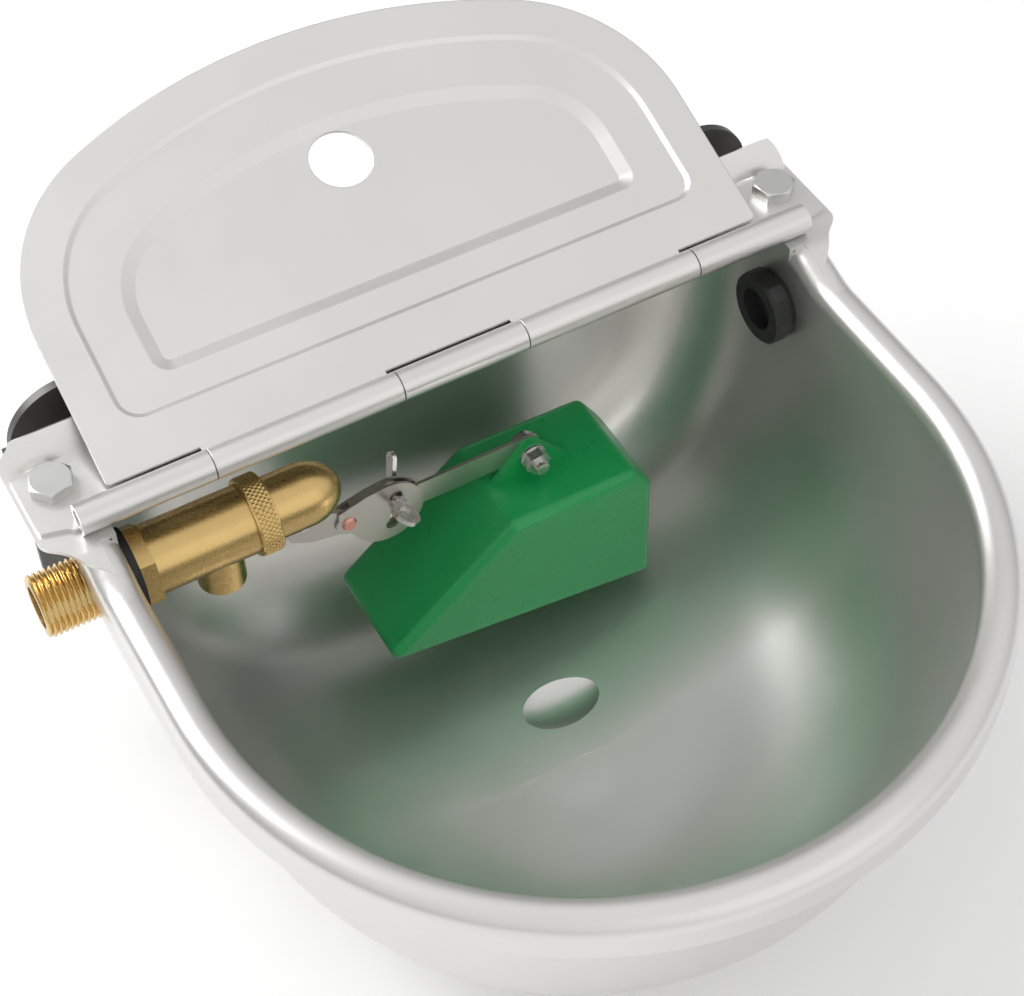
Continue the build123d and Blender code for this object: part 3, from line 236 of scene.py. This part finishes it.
# each material slot: its maker, its darkest and palest colour, its roughness, and what else it needs
LOOKS = {
    "stainless": (satin_steel, (0.70, 0.69, 0.67), (0.78, 0.77, 0.75), (0.29, 0.38), {"metallic": 0.85}),
    "stainless_bright": (drawn_steel, (0.60, 0.59, 0.57), (0.74, 0.73, 0.71), (0.18, 0.32), {}),
    "cover_steel": (satin_steel, (0.74, 0.73, 0.70), (0.82, 0.81, 0.79), (0.36, 0.46), {"soften": 0.0006}),
    "stamped_steel": (satin_steel, (0.52, 0.49, 0.45), (0.66, 0.63, 0.59), (0.28, 0.42), {}),
    # dark_plate: the wall plate is the same steel as the bracket; its near-black colour is painted shade,
    # standing in for the shadow of the open cover
    "dark_plate": (satin_steel, (0.10, 0.10, 0.095), (0.16, 0.16, 0.15), (0.40, 0.55), {}),
    "zinc_steel": (satin_steel, (0.60, 0.60, 0.58), (0.74, 0.74, 0.72), (0.24, 0.38), {}),
    "brass": (machined_brass, (0.60, 0.40, 0.15), (0.76, 0.55, 0.24), (0.25, 0.33), {}),
    "copper": (satin_steel, (0.72, 0.33, 0.26), (0.85, 0.45, 0.38), (0.30, 0.42), {}),
    "black_rubber": (moulded, (0.012, 0.012, 0.012), (0.025, 0.025, 0.025), (0.55, 0.75), {}),
    "black_plastic": (moulded, (0.015, 0.015, 0.015), (0.03, 0.03, 0.03), (0.35, 0.50), {}),
    "white_plastic": (moulded, (0.74, 0.74, 0.71), (0.82, 0.82, 0.80), (0.40, 0.55), {}),
    "green_plastic": (moulded, (0.006, 0.30, 0.07), (0.012, 0.37, 0.10), (0.26, 0.36), {"grain": 0.03}),
}
FINISHES = {
    name: make(name, dark, pale, rough, **more)
    for name, (make, dark, pale, rough, more) in LOOKS.items()
}


def finish_nodes():
    for subpart in frame["record"]["subparts"]:
        piece = nodes[subpart["node"]]
        piece.data.materials.clear()
        piece.data.materials.append(FINISHES[subpart["material_slot"]])


# ------------------------------------------------------------------ thread and knurl
VALVE_Y = -49.0 * MM
VALVE_Z = 28.0 * MM


def turned(name, rings, steps):
    """A ring-shaped body round the valve's axis: each ring is a place along X and a radius at each angle."""
    points = []
    for x, radius in rings:
        for step in range(steps):
            angle = FULL_TURN * step / steps
            r = radius(x, angle) if callable(radius) else radius
            points.append((x, VALVE_Y + r * math.cos(angle), VALVE_Z + r * math.sin(angle)))
    faces = []
    for ring in range(len(rings)):
        first, second = ring * steps, (ring + 1) % len(rings) * steps
        for step in range(steps):
            after = (step + 1) % steps
            faces.append((first + step, second + step, second + after, first + after))
    mesh = bpy.data.meshes.new(name)
    mesh.from_pydata(points, [], faces)
    mesh.validate()
    return mesh


def smooth(mesh, degrees):
    """Shades the mesh smooth, apart from edges that turn by more than the angle."""
    mesh.shade_smooth()
    mesh.set_sharp_from_angle(angle=math.radians(degrees))


def wave(value):
    """A triangle wave: 0 on whole numbers, 1 halfway between."""
    return 1 - abs(2 * (value % 1) - 1)


THREAD_PITCH = 25.4 / 14 * MM
THREAD_CREST = 10.46 * MM
THREAD_DEPTH = 1.05 * MM
THREAD_FLANK = 1.25            # above 1, the wave is cut off and the crests are flat
THREAD_TIP_X = -149.0 * MM
THREAD_SPLIT_X = -126.0 * MM   # inside the lock nut
THREAD_FLAT = 9.7 * MM         # milled flat, from the axis
THREAD_FLAT_ANGLE = math.radians(150)
THREAD_FLAT_REACH = 0.5        # cosine of the angle from the flat's middle where it surely has ended
THREAD_ROWS = 104
THREAD_STEPS = 96
THREAD_SHARP = 35              # degrees
INLET_BORE = 7.0 * MM
TIP_CHAMFER = 0.9 * MM


def thread_radius(x, angle):
    turn = x / THREAD_PITCH + angle / FULL_TURN
    height = min(1.0, THREAD_FLANK * wave(turn))
    radius = THREAD_CREST - THREAD_DEPTH * (1 - height)
    radius = min(radius, THREAD_CREST - TIP_CHAMFER + (x - THREAD_TIP_X))
    facing = math.cos(angle - THREAD_FLAT_ANGLE)
    return min(radius, THREAD_FLAT / facing) if facing > THREAD_FLAT_REACH else radius


def add_thread():
    """The valve body with a cut thread in place of its plain inlet stub."""
    body = nodes["valve_body"]
    length = THREAD_SPLIT_X - THREAD_TIP_X
    rings = [(THREAD_TIP_X, INLET_BORE)]
    for row in range(THREAD_ROWS + 1):
        rings.append((THREAD_TIP_X + length * row / THREAD_ROWS, thread_radius))
    rings.append((THREAD_SPLIT_X, INLET_BORE))
    thread = turned("inlet_thread", rings, THREAD_STEPS)
    joined = bmesh.new()
    joined.from_mesh(body.data)
    joined.transform(body.matrix_world)
    bmesh.ops.bisect_plane(
        joined,
        geom=joined.verts[:] + joined.edges[:] + joined.faces[:],
        plane_co=(THREAD_SPLIT_X, 0, 0),
        plane_no=(1, 0, 0),
        clear_inner=True,
    )
    joined.from_mesh(thread)
    mesh = bpy.data.meshes.new("threaded_body")
    joined.to_mesh(mesh)
    joined.free()
    smooth(mesh, THREAD_SHARP)
    piece = added("threaded_body", mesh)
    mesh.materials.clear()
    mesh.materials.append(FINISHES["brass"])
    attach(piece, "bowl_assembly")
    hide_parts("valve_body")


KNURL_COUNT = 52
KNURL_CREST = 13.38 * MM
KNURL_DEPTH = 0.42 * MM
KNURL_LEAD = 2.1 * MM          # along X, from one diamond to the next
KNURL_LIP = 0.6 * MM
KNURL_ROWS = 26
KNURL_STEPS = KNURL_COUNT * 8
KNURL_SHARP = 28               # degrees
LIP_CHAMFER = 0.15 * MM
COLLAR_INSET = 0.02 * MM       # keeps the ends inside the CAD collar's
COLLAR_BORE = 11.65 * MM
DOME_BORE = 10.65 * MM
SHOULDER_X = -73.4 * MM        # the bore is narrower from here, over the dome


def knurl_radius(x, angle):
    around = angle / FULL_TURN * KNURL_COUNT
    along = x / KNURL_LEAD
    return KNURL_CREST - KNURL_DEPTH * (1 - min(wave(around + along), wave(around - along)))


def add_collar():
    """The union nut with a diamond knurl between its lips."""
    low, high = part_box("valve_collar")
    start, end = low[0] + COLLAR_INSET, high[0] - COLLAR_INSET
    first, last = start + KNURL_LIP, end - KNURL_LIP
    edge = KNURL_CREST - KNURL_DEPTH
    chamfer = edge - LIP_CHAMFER
    rings = [(start, COLLAR_BORE), (start, chamfer), (start + LIP_CHAMFER, edge), (first, edge)]
    for row in range(KNURL_ROWS + 1):
        rings.append((first + (last - first) * row / KNURL_ROWS, knurl_radius))
    rings += [(last, edge), (end - LIP_CHAMFER, edge), (end, chamfer), (end, DOME_BORE)]
    rings += [(SHOULDER_X, DOME_BORE), (SHOULDER_X, COLLAR_BORE)]
    mesh = turned("knurled_collar", rings, KNURL_STEPS)
    smooth(mesh, KNURL_SHARP)
    piece = added("knurled_collar", mesh)
    mesh.materials.append(FINISHES["brass"])
    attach(piece, "bowl_assembly")
    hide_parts("valve_collar")


# ------------------------------------------------------------------ floor and light
FLOOR_SIZE = 6.0
FLOOR_GAP = 0.0005             # below the lowest point of the object
FLOOR_COLOUR = (0.90, 0.90, 0.90, 1)
FLOOR_ROUGHNESS = 0.9
FLOOR_GLOW = 0.10              # only to the camera and in reflections


def add_floor():
    half = FLOOR_SIZE / 2
    height = cad_box[0][2] - FLOOR_GAP
    corners = [(-half, -half), (half, -half), (half, half), (-half, half)]
    mesh = bpy.data.meshes.new("floor")
    mesh.from_pydata([(x, y, height) for x, y in corners], [], [(0, 1, 2, 3)])
    floor = added("floor", mesh)
    shader = Shader("floor")
    shader.set(Roughness=FLOOR_ROUGHNESS)
    shader.surface.inputs["Base Color"].default_value = FLOOR_COLOUR
    glow = shader.tree.nodes.new("ShaderNodeEmission")
    path = shader.tree.nodes.new("ShaderNodeLightPath")
    total = shader.tree.nodes.new("ShaderNodeAddShader")
    output = shader.tree.nodes["Material Output"]
    seen = shader.math("ADD", path.outputs["Is Camera Ray"], path.outputs["Is Glossy Ray"])
    seen = shader.math("ADD", seen, path.outputs["Is Transmission Ray"])
    shader.link(shader.math("MULTIPLY", seen, FLOOR_GLOW), glow.inputs["Strength"])
    shader.link(shader.surface.outputs["BSDF"], total.inputs[0])
    shader.link(glow.outputs["Emission"], total.inputs[1])
    shader.link(total.outputs["Shader"], output.inputs["Surface"])
    mesh.materials.append(shader.material)


LAMP_AIM = Vector((0, -0.1, 0))


def add_light(name, towards, distance, size, watts):
    """A square lamp that stands off in one direction and faces the object."""
    data = bpy.data.lights.new(name, "AREA")
    data.shape = "SQUARE"
    data.size = size
    data.energy = watts
    lamp = added(name, data)
    direction = Vector(towards).normalized()
    lamp.location = LAMP_AIM + direction * distance
    lamp.rotation_euler = direction.to_track_quat("Z", "Y").to_euler()


DIM_LIGHT = 0.22
BRIGHT_LIGHT = 0.85
BRIGHT_SIDE = (0.1, -0.55, 1.0)
GRADE = (-0.35, 0.85)          # from all dim to all bright, along the bright side


def add_world():
    """A pale studio: bright overhead and in front, grey towards the wall's side."""
    world = bpy.data.worlds.new("studio")
    bpy.context.scene.world = world
    world.use_nodes = True
    tree = world.node_tree
    background = tree.nodes["Background"]
    background.inputs["Color"].default_value = (1, 1, 1, 1)
    direction = tree.nodes.new("ShaderNodeTexCoord")
    facing = tree.nodes.new("ShaderNodeVectorMath")
    facing.operation = "DOT_PRODUCT"
    facing.inputs[1].default_value = BRIGHT_SIDE
    span = add_span(tree, GRADE, (DIM_LIGHT, BRIGHT_LIGHT))
    span.interpolation_type = "SMOOTHSTEP"
    tree.links.new(direction.outputs["Generated"], facing.inputs[0])
    tree.links.new(facing.outputs["Value"], span.inputs["Value"])
    tree.links.new(span.outputs["Result"], background.inputs["Strength"])


add_camera()
finish_nodes()
add_thread()
add_collar()
add_floor()
add_light("key", towards=(-0.68, 0.80, 0.80), distance=1.3, size=0.8, watts=11)
add_light("fill", towards=(0.25, -0.90, 0.50), distance=1.4, size=1.2, watts=1)
add_world()
bpy.context.scene.view_settings.view_transform = "Standard"
